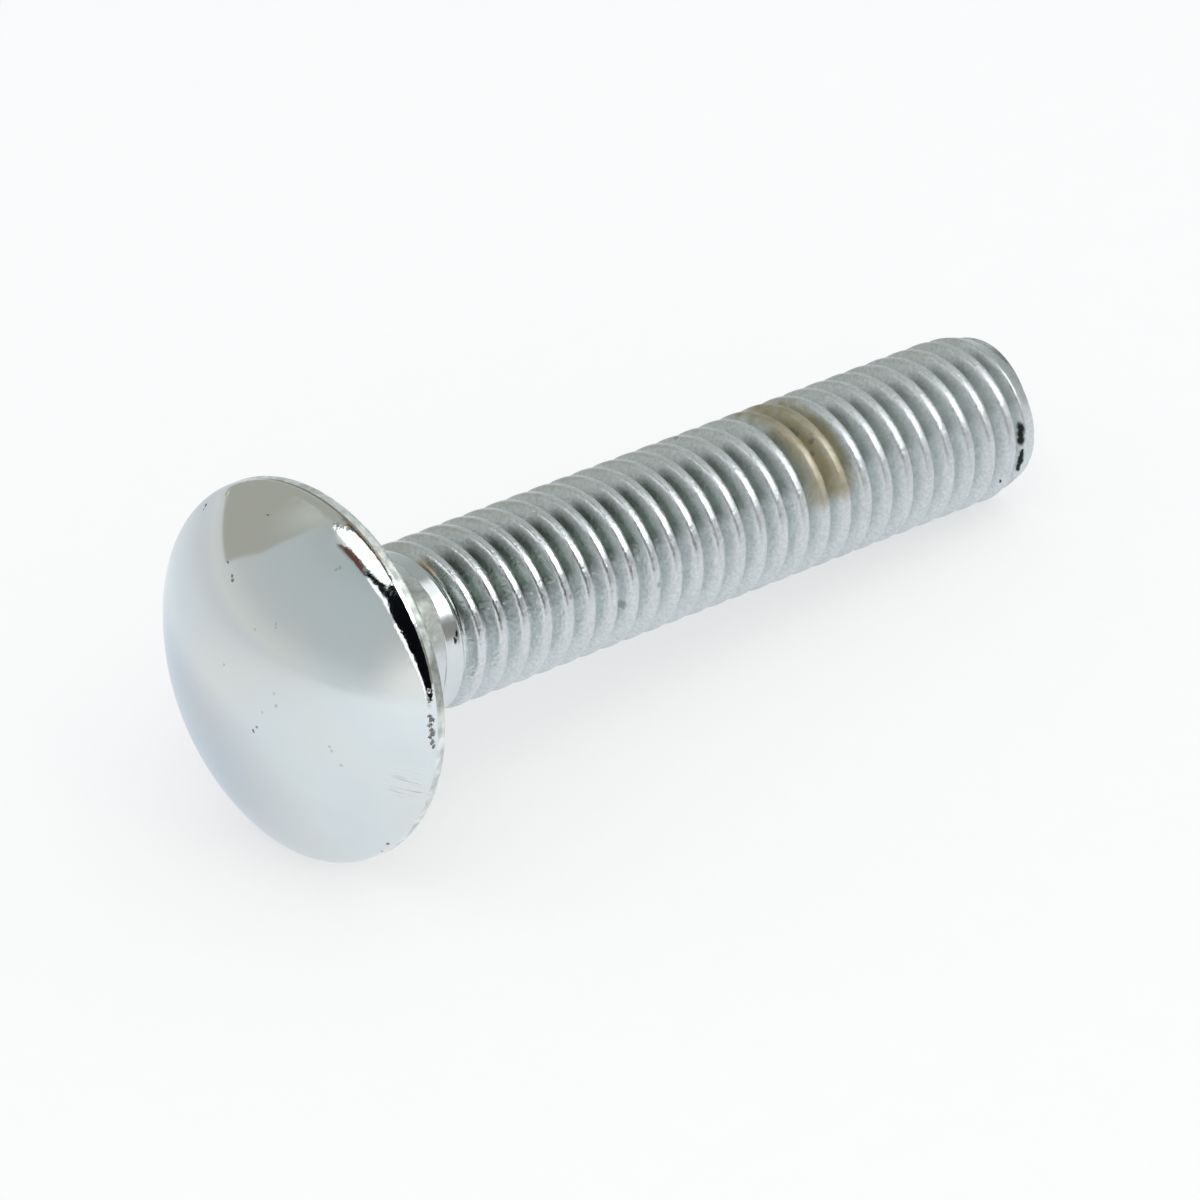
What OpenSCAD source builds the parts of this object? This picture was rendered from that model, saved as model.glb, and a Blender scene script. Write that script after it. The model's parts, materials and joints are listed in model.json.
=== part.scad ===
// Round-head square-neck (carriage) bolt: one cold-formed steel piece with a rolled thread.
// It lies as it comes to rest, on the rim of its head and on its last full crest.
// Each module is drawn standing, with the bolt along Z, the seat at 0 and the point above it.

/* [Head] */
// Diameter of the head over its edge
head_d = 20.9; // [18:0.1:28]
// Height of the head, from the seat to the crown
head_h = 5.2; // [4.6:0.1:7.5]
// Height of the straight edge, from the seat to where the dome starts
edge_h = 0.8; // [0.6:0.05:1.6]
// Rounding where the edge rolls over into the dome
edge_r = 0.6; // [0.2:0.05:1.2]
// Rounding of the edge at the seat
seat_r = 0.3; // [0.1:0.05:0.5]

/* [Square neck] */
// Width of the neck across its flats
neck_w = 9.5; // [9.2:0.05:11]
// Depth of the neck, from the seat
neck_depth = 5.4; // [3:0.1:8]
// Diameter over the neck's rounded corners
neck_corner_d = 12.6; // [12:0.1:13]
// Length over which the corners run out to the shank
neck_runout = 1.2; // [0.5:0.1:2]
// Turn of the neck's flats round the bolt
neck_turn = 0; // [0:5:45]

/* [Shank] */
// Length of the bolt under its head
shank_l = 50; // [30:0.1:95]
// Diameter of the smooth land between the neck and the thread
land_d = 9.1; // [8.6:0.05:9.15]
// Length of the smooth land
land_l = 0.8; // [0.5:0.1:8]

/* [Thread] */
// Diameter over the crests
thread_d = 9.35; // [9.2:0.05:9.6]
// Distance from one crest to the next
pitch = 1.5875; // [1.25:0.0125:1.75]
// Angle between the two flanks of a groove
flank_angle = 60; // [55:1:65]
// Flat on a crest, as a share of the pitch
crest_share = 0.2; // [0.125:0.005:0.25]
// Flat at the bottom of a groove, as a share of the pitch
root_share = 0.18; // [0.125:0.005:0.25]
// Turns over which the grooves reach their full depth
fade_turns = 0.7; // [0.5:0.1:3]
// Turn of the thread round the bolt, from the side that it lies on
thread_turn = 270; // [0:15:345]
// Flats in one turn
turn_flats = 24; // [16:4:36]

/* [Point] */
// Length of the chamfer that is turned on the end
point_l = 1.8; // [0.8:0.1:2.4]
// Diameter of the flat end
point_d = 8.4; // [6:0.1:8.8]

/* [Hidden] */
$fn = 96;

head_r = head_d / 2;
land_r = land_d / 2;
thread_r = thread_d / 2;
point_r = point_d / 2;

// The dome is an arc of radius dome_r about dome_z that meets the rounding of the edge
dome_rise = head_h - edge_h;
dome_in = head_r - edge_r;
dome_r = (dome_in * dome_in + dome_rise * dome_rise - edge_r * edge_r) / (2 * (dome_rise - edge_r));
dome_z = dome_r - head_h;
dome_angle = atan2(dome_in, edge_h + dome_z);

// One pitch of the thread: each corner's place and height, as shares of the pitch and the depth
flank_share = (1 - crest_share - root_share) / 2;
groove_depth = pitch * flank_share / tan(flank_angle / 2);
root_r = thread_r - groove_depth;
section = [[0, 1], [crest_share, 1], [crest_share + flank_share, 0], [1 - flank_share, 0]];

// The thread winds from inside the neck, plain and a hair slimmer than the land, and its
// grooves start just past the land. It runs on past the end, which is then turned
land_end = neck_depth + land_l;
core_r = land_r - 0.02;
helix_z = land_end - pitch;
groove_z = land_end + 0.05;
foot_z = helix_z - 0.3;
turns = ceil((shank_l + 0.1 - helix_z) / pitch);
cap_z = helix_z + pitch * (turns + 1.5);

// Slope of the chamfer on the end, as radius lost for each millimetre
point_slope = (thread_r - point_r) / point_l;
point_z = shank_l - point_l;

// Start of crest number t, at an angle round the bolt
function crest_z(t, angle) = helix_z + pitch * (t + (angle - thread_turn) / 360);

// Where crest number t stands furthest out underneath, as [distance from the seat, radius]
function crest_stand(t) =
    let (from = crest_z(t, 0))
    from < point_z
        ? [min(from + pitch * crest_share, point_z), thread_r]
        : [from, thread_r - point_slope * (from - point_z)];

// Lean of the axis at which both the rounded rim of the head and a crest touch the floor
function lean_on(stand) =
    let (run = stand[0] + seat_r)
    let (drop = head_r - seat_r - stand[1])
    atan2(drop, run) + asin(seat_r / norm([run, drop]));

last_turns = [for (t = [turns - 4:turns + 1]) if (crest_z(t, 0) < shank_l) t];
lean = min([for (t = last_turns) lean_on(crest_stand(t))]);
seat_height = (head_r - seat_r) * cos(lean) + seat_r - seat_r * sin(lean);

// The lying bolt reaches from the crown to the upper edge of its end
crown_x = dome_z * cos(lean) - dome_r;
end_x = shank_l * cos(lean) + point_r * sin(lean);

function arc(centre, r, from, to, steps) =
    [for (i = [0:steps])
        let (a = from + (to - from) * i / steps)
        centre + r * [sin(a), cos(a)]];

module head() {
    rotate_extrude()
        polygon(concat(
            [[0, 0]],
            arc([head_r - seat_r, -seat_r], seat_r, 0, 90, 4),
            arc([dome_in, -edge_h], edge_r, 90, 180 - dome_angle, 5),
            arc([0, dome_z], dome_r, 180 - dome_angle, 180, 24)
        ));
}

// A square bar turned down: its corners are rounded, run out, and leave the round land
module neck_and_land() {
    bite = 0.5;
    corner_r = neck_corner_d / 2;
    intersection() {
        rotate([0, 0, neck_turn])
            translate([-neck_w / 2, -neck_w / 2, -bite])
                cube([neck_w, neck_w, land_end + bite]);
        rotate_extrude()
            polygon([
                [0, -bite],
                [corner_r, -bite],
                [corner_r, neck_depth - neck_runout],
                [land_r, neck_depth],
                [land_r, land_end],
                [0, land_end]
            ]);
    }
}

function on_ring(r, step, z) =
    let (a = thread_turn + 360 * step / turn_flats)
    [r * cos(a), r * sin(a), z];

// Corner k of the section, after so many flats along the helix
function helix_point(step, k) =
    let (z = helix_z + pitch * (step / turn_flats + section[k][0]))
    let (full_r = root_r + groove_depth * section[k][1])
    let (grown = max(0, min(1, (z - groove_z) / (pitch * fade_turns))))
    on_ring(core_r + (full_r - core_r) * grown, step, z);

// Right-hand thread as one closed skin: a strip as wide as the pitch winds up the core, each
// turn on the edge of the last, and a ring below and above closes its two ragged ends
module thread_blank() {
    n = turn_flats;
    m = len(section);
    last = turns * n;
    strip = [for (i = [0:last]) for (k = [0:m - 1]) helix_point(i, k)];
    rim = [for (i = [last + 1:last + n]) helix_point(i, 0)];
    foot = [for (i = [0:n - 1]) on_ring(core_r, i, foot_z)];
    cap = [for (i = [0:n - 1]) on_ring(thread_r, i, cap_z)];

    // Number of a strip corner; corner m is corner 0 of the next turn
    function at(i, k) =
        k == m ? at(i + n, 0)
        : i > last ? (last + 1) * m + i - last - 1
        : i * m + k;
    foot_0 = (last + 1) * m + n;
    cap_0 = foot_0 + n;

    skin = [for (i = [0:last - 1]) for (k = [0:m - 1]) each [
        [at(i, k), at(i, k + 1), at(i + 1, k + 1)],
        [at(i, k), at(i + 1, k + 1), at(i + 1, k)]
    ]];
    below = [for (i = [0:n - 2]) each [
        [foot_0 + i, at(i, 0), at(i + 1, 0)],
        [foot_0 + i, at(i + 1, 0), foot_0 + i + 1]
    ]];
    below_seam = concat(
        [[at(n - 1, 0), foot_0, foot_0 + n - 1], [at(n - 1, 0), at(0, 0), foot_0]],
        [for (k = [0:m - 1]) [at(n - 1, 0), at(0, k + 1), at(0, k)]]
    );
    above = [for (i = [1:n - 1]) each [
        [at(last + i, 0), cap_0 + i, cap_0 + (i + 1) % n],
        [at(last + i, 0), cap_0 + (i + 1) % n, at(last + i + 1, 0)]
    ]];
    above_seam = concat(
        [[at(last + 1, 0), cap_0, cap_0 + 1], [at(last + 1, 0), at(last, m), cap_0]],
        [for (k = [0:m - 1]) [at(last + 1, 0), at(last, k), at(last, k + 1)]]
    );
    ends = [[for (i = [0:n - 1]) foot_0 + i], [for (i = [n - 1:-1:0]) cap_0 + i]];

    polyhedron(
        points = concat(strip, rim, foot, cap),
        faces = concat(skin, below, below_seam, above, above_seam, ends)
    );
}

// The thread cut to length, with its point turned to a chamfer and a flat end
module thread() {
    clear = 1;
    difference() {
        thread_blank();
        rotate_extrude()
            polygon([
                [0, shank_l],
                [point_r, shank_l],
                [thread_r + clear, point_z - clear / point_slope],
                [thread_r + clear, cap_z + clear],
                [0, cap_z + clear]
            ]);
    }
}

module carriage_bolt() {
    color("silver")
        translate([-(crown_x + end_x) / 2, 0, seat_height])
            rotate([0, 90 + lean, 0]) {
                head();
                neck_and_land();
                thread();
            }
}

carriage_bolt();
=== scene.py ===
# Looks of the carriage bolt: a polished chrome dome on a satin plated shank with a rolled
# thread. It lies on a pale studio floor, on the rim of its head and on its last full crest.

import json
import math

import bmesh
import bpy
from mathutils import Matrix, Vector
from mathutils.bvhtree import BVHTree


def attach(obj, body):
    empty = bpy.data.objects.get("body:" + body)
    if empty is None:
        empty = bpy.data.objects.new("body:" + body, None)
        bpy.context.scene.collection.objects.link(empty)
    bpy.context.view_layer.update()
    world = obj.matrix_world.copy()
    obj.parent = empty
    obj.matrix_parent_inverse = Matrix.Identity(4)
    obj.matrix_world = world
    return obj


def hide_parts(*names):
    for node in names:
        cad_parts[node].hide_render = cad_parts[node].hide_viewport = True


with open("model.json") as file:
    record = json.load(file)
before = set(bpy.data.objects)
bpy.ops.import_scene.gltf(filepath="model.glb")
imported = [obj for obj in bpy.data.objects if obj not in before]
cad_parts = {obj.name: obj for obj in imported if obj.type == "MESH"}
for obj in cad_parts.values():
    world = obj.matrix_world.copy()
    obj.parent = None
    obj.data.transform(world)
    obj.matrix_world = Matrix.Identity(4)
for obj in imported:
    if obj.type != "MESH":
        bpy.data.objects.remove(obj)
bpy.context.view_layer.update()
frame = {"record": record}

MM = 0.001

# Sizes in millimetres, the same as in the part's source. The bolt is drawn standing, with its
# seat at 0, its crown below and its point above, and is laid down at the end
HEAD_R = 10.45
HEAD_H = 5.2
EDGE_H = 0.8
EDGE_ROUND = 0.6
SEAT_ROUND = 0.3
NECK_FLAT = 4.75
NECK_DEPTH = 5.4
NECK_CORNER_R = 6.3
NECK_RUNOUT = 1.2
NECK_LIP = 0.3
LAND_R = 4.55
LAND_END = 6.2
THREAD_R = 4.675
PITCH = 1.5875
FLANK_ANGLE = 60
CREST_FLAT = 0.2 * PITCH
ROOT_FLAT = 0.18 * PITCH
FADE_TURNS = 0.7
THREAD_TURN = 270
SHANK_L = 50
POINT_L = 1.8
POINT_R = 4.2

# Rolling leaves the crests wider and rounder than the plain section, more so towards the point
ROLLED_FLAT = 0.28 * PITCH
ROLLED_FLAT_AT_POINT = 0.35 * PITCH
CREST_ROUND = 0.18
CREST_ROUND_AT_POINT = 0.38
ROOT_ROUND = 0.22
POINT_ROUND = 0.12

# The dome is an arc of radius DOME_R about DOME_Z that meets the rounding of the edge
DOME_RISE = HEAD_H - EDGE_H
DOME_IN = HEAD_R - EDGE_ROUND
DOME_R = (DOME_IN**2 + DOME_RISE**2 - EDGE_ROUND**2) / (2 * (DOME_RISE - EDGE_ROUND))
DOME_Z = DOME_R - HEAD_H

# Thread: depth of a groove, and where the helix and its grooves start
GROOVE_DEPTH = (PITCH - CREST_FLAT - ROOT_FLAT) / 2 / math.tan(math.radians(FLANK_ANGLE / 2))
ROOT_R = THREAD_R - GROOVE_DEPTH
HELIX_Z = LAND_END - 2 * PITCH
GROOVE_Z = LAND_END + 0.05
THREAD_FROM = LAND_END - 0.3

# Points round the bolt, the same on the head and on the thread so that the two weld, points
# across one pitch, and the distances in millimetres at which points become one
ROUND = 128
SAMPLES = 16
TURNS = math.ceil((SHANK_L - HELIX_Z) / PITCH) + 1
THREAD_WELD = 0.002
HEAD_WELD = 0.004
SLIVER = 0.0005

# Rings of points on each stretch from the crown to the thread, and rings on the flat end as
# shares of its radius
DOME_RINGS = 40
ROLL_RINGS = 14
EDGE_RINGS = 4
SEAT_ROUND_RINGS = 6
SEAT_RINGS = 8
LIP_RINGS = 4
NECK_RINGS = 6
RUNOUT_RINGS = 10
LAND_RINGS = 3
END_RINGS = (0.96, 0.85, 0.6, 0.3)

# The lying bolt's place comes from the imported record
mounts = {mount["name"]: mount for mount in frame["record"]["mounts"]}
axis = Vector(mounts["seat"]["axis"]).normalized()
seat = Vector(mounts["square_neck"]["pos_m"]) - axis * (NECK_DEPTH / 2 * MM)
across = Vector((0, 1, 0))
under = across.cross(axis)
turn = Matrix((under, across, axis)).transposed()
lying = Matrix.LocRotScale(seat, turn.to_quaternion(), (MM, MM, MM))

# Camera: the photo's, from a fit to the outline of the head and shank and to the crests
CAMERA_AZIMUTH = math.radians(43.33)
CAMERA_ELEVATION = math.radians(33.59)
IMAGE_PX = 1200
FOCAL_PX = 11000
SEAT_PX_X = 311.1
SEAT_PX_Y = 667.0
SEAT_DISTANCE = 574.75 * MM
SENSOR = 36
CLIP_START = 0.01
CLIP_END = 100

right = Vector((math.cos(CAMERA_AZIMUTH), -math.sin(CAMERA_AZIMUTH), 0))
level = Vector((math.sin(CAMERA_AZIMUTH), math.cos(CAMERA_AZIMUTH), 0))
ahead = level * math.cos(CAMERA_ELEVATION) - Vector((0, 0, math.sin(CAMERA_ELEVATION)))
up = right.cross(ahead)

sideways = (SEAT_PX_X - IMAGE_PX / 2) / FOCAL_PX * SEAT_DISTANCE
downwards = (SEAT_PX_Y - IMAGE_PX / 2) / FOCAL_PX * SEAT_DISTANCE
camera_place = seat - right * sideways + up * downwards - ahead * SEAT_DISTANCE

# Types of node that are used often
MATH = "ShaderNodeMath"
VECTOR_MATH = "ShaderNodeVectorMath"
MAP_RANGE = "ShaderNodeMapRange"
MIX = "ShaderNodeMix"
NOISE = "ShaderNodeTexNoise"


def linear(hex_colour):
    """The linear RGBA of an sRGB hex colour."""
    channels = [int(hex_colour[i : i + 2], 16) / 255 for i in (1, 3, 5)]
    return [c / 12.92 if c <= 0.04045 else ((c + 0.055) / 1.055) ** 2.4 for c in channels] + [1]


def put(tree, kind, inputs=None, out=0, **settings):
    """Adds a node, with its settings and its inputs as values or links, and returns one output."""
    made = tree.nodes.new(kind)
    for name, value in settings.items():
        setattr(made, name, value)
    for key, value in (inputs or {}).items():
        if isinstance(value, bpy.types.NodeSocket):
            tree.links.new(value, made.inputs[key])
        else:
            made.inputs[key].default_value = value
    return made.outputs[out] if len(made.outputs) else None


def smooth_step(x, low, high):
    """0 below low, 1 above high, and a soft ramp between."""
    t = max(0.0, min(1.0, (x - low) / (high - low)))
    return t * t * (3 - 2 * t)


chrome = bpy.data.materials.new("polished_chrome_plate")
satin = bpy.data.materials.new("satin_bright_plate")


# Thread

def thread_tree():
    """Geometry nodes for a rolled thread: a grid as wide as the pitch, wound up the shank."""
    tree = bpy.data.node_groups.new("rolled_thread", "GeometryNodeTree")
    tree.interface.new_socket("Geometry", in_out="OUTPUT", socket_type="NodeSocketGeometry")
    sizes = {
        "Pitch": PITCH,
        "Crest radius": THREAD_R,
        "Root radius": ROOT_R,
        "Crest flat": ROLLED_FLAT,
        "Crest flat at the point": ROLLED_FLAT_AT_POINT,
        "Half flank angle": math.radians(FLANK_ANGLE / 2),
        "Crest rounding": CREST_ROUND,
        "Crest rounding at the point": CREST_ROUND_AT_POINT,
        "Root rounding": ROOT_ROUND,
        "Land radius": LAND_R,
        "Helix start": HELIX_Z,
        "Thread start": THREAD_FROM,
        "Groove start": GROOVE_Z,
        "Fade length": FADE_TURNS * PITCH,
        "First angle": math.radians(THREAD_TURN),
        "End": SHANK_L,
        "Point radius": POINT_R,
        "Point slope": (THREAD_R - POINT_R) / POINT_L,
        "Point rounding": POINT_ROUND,
        "Weld distance": THREAD_WELD,
    }
    counts = {"Turns": TURNS, "Points a turn": ROUND, "Points a pitch": SAMPLES}
    for name in sizes:
        tree.interface.new_socket(name, in_out="INPUT", socket_type="NodeSocketFloat")
    for name in counts:
        tree.interface.new_socket(name, in_out="INPUT", socket_type="NodeSocketInt")
    tree.interface.new_socket("Finish", in_out="INPUT", socket_type="NodeSocketMaterial")
    given = tree.nodes.new("NodeGroupInput").outputs

    # The grid is one metre wide each way about its middle, so a half more makes it 0 to 1
    steps = put(tree, MATH, {0: given["Turns"], 1: given["Points a turn"]}, operation="MULTIPLY")
    grid = put(tree, "GeometryNodeMeshGrid", {
        "Size X": 1.0,
        "Size Y": 1.0,
        "Vertices X": put(tree, MATH, {0: steps, 1: 1.0}, operation="ADD"),
        "Vertices Y": put(tree, MATH, {0: given["Points a pitch"], 1: 1.0}, operation="ADD"),
    }, out="Mesh")
    place = put(tree, "GeometryNodeInputPosition")
    cell = put(tree, "ShaderNodeSeparateXYZ", {"Vector": place}).node.outputs
    along = put(tree, MATH, {0: cell["X"], 1: 0.5}, operation="ADD")
    turns_on = put(tree, MATH, {0: along, 1: given["Turns"]}, operation="MULTIPLY")
    share = put(tree, MATH, {0: cell["Y"], 1: 0.5}, operation="ADD")
    wound = put(tree, MATH, {0: turns_on, 1: share}, operation="ADD")
    height = put(tree, MATH, {0: wound, 1: given["Pitch"], 2: given["Helix start"]},
                 operation="MULTIPLY_ADD")
    height = put(tree, MATH, {0: height, 1: given["Thread start"]}, operation="MAXIMUM")
    height = put(tree, MATH, {0: height, 1: given["End"]}, operation="MINIMUM")
    angle = put(tree, MATH, {0: turns_on, 1: math.tau, 2: given["First angle"]},
                operation="MULTIPLY_ADD")

    # How far the point is from the middle of the nearest crest, along the bolt
    climbed = put(tree, MATH, {0: height, 1: given["Helix start"]}, operation="SUBTRACT")
    climbed = put(tree, MATH, {0: climbed, 1: given["Pitch"]}, operation="DIVIDE")
    phase = put(tree, MATH, {0: climbed, 1: turns_on}, operation="SUBTRACT")
    phase = put(tree, MATH, {0: phase, 1: given["Pitch"]}, operation="MULTIPLY")
    crest_flat = put(tree, MAP_RANGE, {
        "Value": height,
        "From Min": given["Thread start"],
        "From Max": given["End"],
        "To Min": given["Crest flat"],
        "To Max": given["Crest flat at the point"],
    })
    half_crest = put(tree, MATH, {0: crest_flat, 1: 0.5}, operation="MULTIPLY")
    half_pitch = put(tree, MATH, {0: given["Pitch"], 1: 0.5}, operation="MULTIPLY")
    off_middle = put(tree, MATH, {0: phase, 1: half_crest}, operation="SUBTRACT")
    from_crest = put(tree, MATH, {0: off_middle, 1: half_pitch}, operation="PINGPONG")

    # Flat crest, straight flank and flat root, with rolled corners between them
    past_crest = put(tree, MATH, {0: from_crest, 1: half_crest}, operation="SUBTRACT")
    spread = put(tree, MATH, {0: given["Half flank angle"]}, operation="TANGENT")
    down_flank = put(tree, MATH, {0: past_crest, 1: spread}, operation="DIVIDE")
    flank = put(tree, MATH, {0: given["Crest radius"], 1: down_flank}, operation="SUBTRACT")
    rounding = put(tree, MAP_RANGE, {
        "Value": height,
        "From Min": given["Thread start"],
        "From Max": given["End"],
        "To Min": given["Crest rounding"],
        "To Max": given["Crest rounding at the point"],
    })
    capped = put(tree, MATH, {0: flank, 1: given["Crest radius"], 2: rounding},
                 operation="SMOOTH_MIN")
    full = put(tree, MATH, {0: capped, 1: given["Root radius"], 2: given["Root rounding"]},
               operation="SMOOTH_MAX")

    # The groove deepens from the land on, and the chamfer of the point cuts it off
    grown = put(tree, MAP_RANGE, {
        "Value": put(tree, MATH, {0: height, 1: given["Groove start"]}, operation="SUBTRACT"),
        "From Max": given["Fade length"],
    })
    deepened = put(tree, MATH, {0: full, 1: given["Land radius"]}, operation="SUBTRACT")
    radius = put(tree, MATH, {0: deepened, 1: grown, 2: given["Land radius"]},
                 operation="MULTIPLY_ADD")
    to_end = put(tree, MATH, {0: given["End"], 1: height}, operation="SUBTRACT")
    chamfer = put(tree, MATH, {0: to_end, 1: given["Point slope"], 2: given["Point radius"]},
                  operation="MULTIPLY_ADD")
    radius = put(tree, MATH, {0: radius, 1: chamfer, 2: given["Point rounding"]},
                 operation="SMOOTH_MIN")
    cosine = put(tree, MATH, {0: angle}, operation="COSINE")
    sine = put(tree, MATH, {0: angle}, operation="SINE")
    wrapped = put(tree, "ShaderNodeCombineXYZ", {
        "X": put(tree, MATH, {0: radius, 1: cosine}, operation="MULTIPLY"),
        "Y": put(tree, MATH, {0: radius, 1: sine}, operation="MULTIPLY"),
        "Z": height,
    })
    shape = put(tree, "GeometryNodeSetPosition", {"Geometry": grid, "Position": wrapped})
    shape = put(tree, "GeometryNodeMergeByDistance", {
        "Geometry": shape, "Distance": given["Weld distance"],
    })
    shape = put(tree, "GeometryNodeSetShadeSmooth", {"Geometry": shape})
    shape = put(tree, "GeometryNodeRealizeInstances", {"Geometry": shape})
    shape = put(tree, "GeometryNodeSetMaterial", {"Geometry": shape, "Material": given["Finish"]})
    put(tree, "NodeGroupOutput", {"Geometry": shape})
    return tree, {**sizes, **counts, "Finish": satin}


def thread_mesh():
    """The thread as a plain mesh, open at the land and at its end."""
    tree, values = thread_tree()
    carrier = bpy.data.objects.new("rolled_thread", bpy.data.meshes.new("rolled_thread"))
    bpy.context.scene.collection.objects.link(carrier)
    modifier = carrier.modifiers.new("rolled_thread", "NODES")
    modifier.node_group = tree
    for item in tree.interface.items_tree:
        if item.in_out == "INPUT":
            modifier[item.identifier] = values[item.name]
    shown = carrier.evaluated_get(bpy.context.evaluated_depsgraph_get())
    mesh = bpy.data.meshes.new_from_object(shown)
    bpy.data.objects.remove(carrier)
    return mesh


# Head, neck and land

# Buffing has rolled the dome over into its edge, more on the side that shows than on the rest:
# widths in millimetres, the angles between which it is wide, and those over which it changes
WIDE_ROLL = 0.75
NARROW_ROLL = 0.22
WIDE_FROM = 178
WIDENS_OVER = 24
WIDE_TO = 252
NARROWS_OVER = 26
CORNER = 0.12


def roll_width(angle):
    """How far in from the edge the dome starts to roll over, at an angle round the bolt."""
    rise = smooth_step(angle, WIDE_FROM, WIDE_FROM + WIDENS_OVER)
    fall = 1 - smooth_step(angle, WIDE_TO - NARROWS_OVER, WIDE_TO)
    return NARROW_ROLL + (WIDE_ROLL - NARROW_ROLL) * rise * fall


def arc(z, r, radius, start, end, steps):
    """Points [z, r] on an arc about [z, r], without its first; 0 degrees faces the crown."""
    angles = [math.radians(start + (end - start) * i / steps) for i in range(1, steps + 1)]
    return [(z - radius * math.cos(a), r + radius * math.sin(a)) for a in angles]


def neck_radius(z, angle):
    """The square neck, whose corners are turned down and run out to the round land."""
    off = math.radians((angle + 45) % 90 - 45)
    flat = NECK_FLAT / math.cos(off)
    left = max(0.0, min(1.0, (NECK_DEPTH - z) / NECK_RUNOUT))
    turned = LAND_R + (NECK_CORNER_R - LAND_R) * left
    return min(flat, turned)


def outline(angle):
    """The head from the crown to its neck at one angle, as [z, r] points.

    It also gives how many of the points are on the polished dome and its edge.
    """
    starts_r = HEAD_R - roll_width(angle)
    dome_angle = math.degrees(math.asin(starts_r / DOME_R))
    starts_z = DOME_Z - DOME_R * math.cos(math.radians(dome_angle))
    points = arc(DOME_Z, 0, DOME_R, 0, dome_angle, DOME_RINGS)

    # The roll is an arc that leaves the dome smoothly and ends on the corner of the edge
    chord = math.hypot(HEAD_R - starts_r, -EDGE_H - starts_z)
    lean = math.degrees(math.atan2(-EDGE_H - starts_z, HEAD_R - starts_r))
    end_angle = 2 * lean - dome_angle
    roll_r = chord / 2 / math.sin(math.radians(lean - dome_angle))
    middle_z = starts_z + roll_r * math.cos(math.radians(dome_angle))
    middle_r = starts_r - roll_r * math.sin(math.radians(dome_angle))
    near = dome_angle + (end_angle - dome_angle) * (1 - CORNER)
    points += arc(middle_z, middle_r, roll_r, dome_angle, near, ROLL_RINGS)
    points += [(-EDGE_H, HEAD_R), (CORNER - EDGE_H, HEAD_R)]
    polished = len(points)
    straight = EDGE_H - CORNER - SEAT_ROUND
    points += [
        (CORNER - EDGE_H + straight * i / EDGE_RINGS, HEAD_R) for i in range(1, EDGE_RINGS + 1)
    ]
    points += arc(-SEAT_ROUND, HEAD_R - SEAT_ROUND, SEAT_ROUND, 90, 180, SEAT_ROUND_RINGS)

    foot = neck_radius(0, angle)
    inner = foot + NECK_LIP
    outer = HEAD_R - SEAT_ROUND
    points += [
        (0, outer + (inner - outer) * i / SEAT_RINGS) for i in range(1, SEAT_RINGS + 1)
    ]

    # A thin lip stands round the foot of the neck
    points += arc(NECK_LIP, inner, NECK_LIP, 180, 270, LIP_RINGS)
    return points, polished


def head_mesh():
    """Rings from the crown to the start of the thread, as one open skin."""
    skin = bmesh.new()
    angles = [360 * i / ROUND for i in range(ROUND)]
    lines = []
    for angle in angles:
        points, polished = outline(angle)
        start = points[-1][0]
        runs_from = NECK_DEPTH - NECK_RUNOUT
        stretches = [
            (start, runs_from - start, NECK_RINGS),
            (runs_from, NECK_RUNOUT, RUNOUT_RINGS),
            (NECK_DEPTH, THREAD_FROM - NECK_DEPTH, LAND_RINGS),
        ]
        for foot, length, steps in stretches:
            heights = [foot + length * i / steps for i in range(1, steps + 1)]
            points += [(z, neck_radius(z, angle)) for z in heights]
        lines.append(points)
    crown = skin.verts.new((0, 0, -HEAD_H))
    rings = []
    for j in range(len(lines[0])):
        rings.append([
            skin.verts.new((r * math.cos(math.radians(a)), r * math.sin(math.radians(a)), z))
            for a, (z, r) in zip(angles, [line[j] for line in lines])
        ])
    for i in range(ROUND):
        k = (i + 1) % ROUND
        skin.faces.new((crown, rings[0][k], rings[0][i]))
        for j in range(len(rings) - 1):
            face = skin.faces.new((rings[j][i], rings[j][k], rings[j + 1][k], rings[j + 1][i]))
            face.material_index = 0 if j < polished - 1 else 1
    return skin


def close_end(skin):
    """Closes the flat end of the point with rings that narrow to its middle."""
    rim = [v for v in skin.verts if v.is_boundary and v.co.z > SHANK_L / 2]
    rim.sort(key=lambda v: math.atan2(v.co.y, v.co.x))
    before = rim
    for shrink in END_RINGS:
        ring = [skin.verts.new((v.co.x * shrink, v.co.y * shrink, SHANK_L)) for v in rim]
        for i in range(len(rim)):
            k = (i + 1) % len(rim)
            skin.faces.new((before[i], before[k], ring[k], ring[i])).material_index = 1
        before = ring
    middle = skin.verts.new((0, 0, SHANK_L))
    for i in range(len(rim)):
        skin.faces.new((before[i], before[(i + 1) % len(rim)], middle)).material_index = 1
    return rim


def make_bolt():
    """The whole bolt as one closed mesh in its lying place, with its two finishes."""
    skin = head_mesh()
    thread = thread_mesh()
    first = len(skin.faces)
    skin.from_mesh(thread)
    skin.faces.ensure_lookup_table()
    for face in skin.faces[first:]:
        face.material_index = 1
    bmesh.ops.remove_doubles(skin, verts=skin.verts, dist=HEAD_WELD)
    bmesh.ops.dissolve_degenerate(skin, dist=SLIVER, edges=skin.edges)
    rim = set(close_end(skin))
    bmesh.ops.recalc_face_normals(skin, faces=skin.faces)
    for face in skin.faces:
        face.smooth = True
    for edge in skin.edges:
        if edge.verts[0] in rim and edge.verts[1] in rim:
            edge.smooth = False
    bmesh.ops.transform(skin, matrix=lying, verts=skin.verts)
    mesh = bpy.data.meshes.new("plated_bolt")
    skin.to_mesh(mesh)
    skin.free()
    mesh.materials.append(chrome)
    mesh.materials.append(satin)
    bolt = bpy.data.objects.new("plated_bolt", mesh)
    bpy.context.scene.collection.objects.link(bolt)
    return bolt


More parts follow.
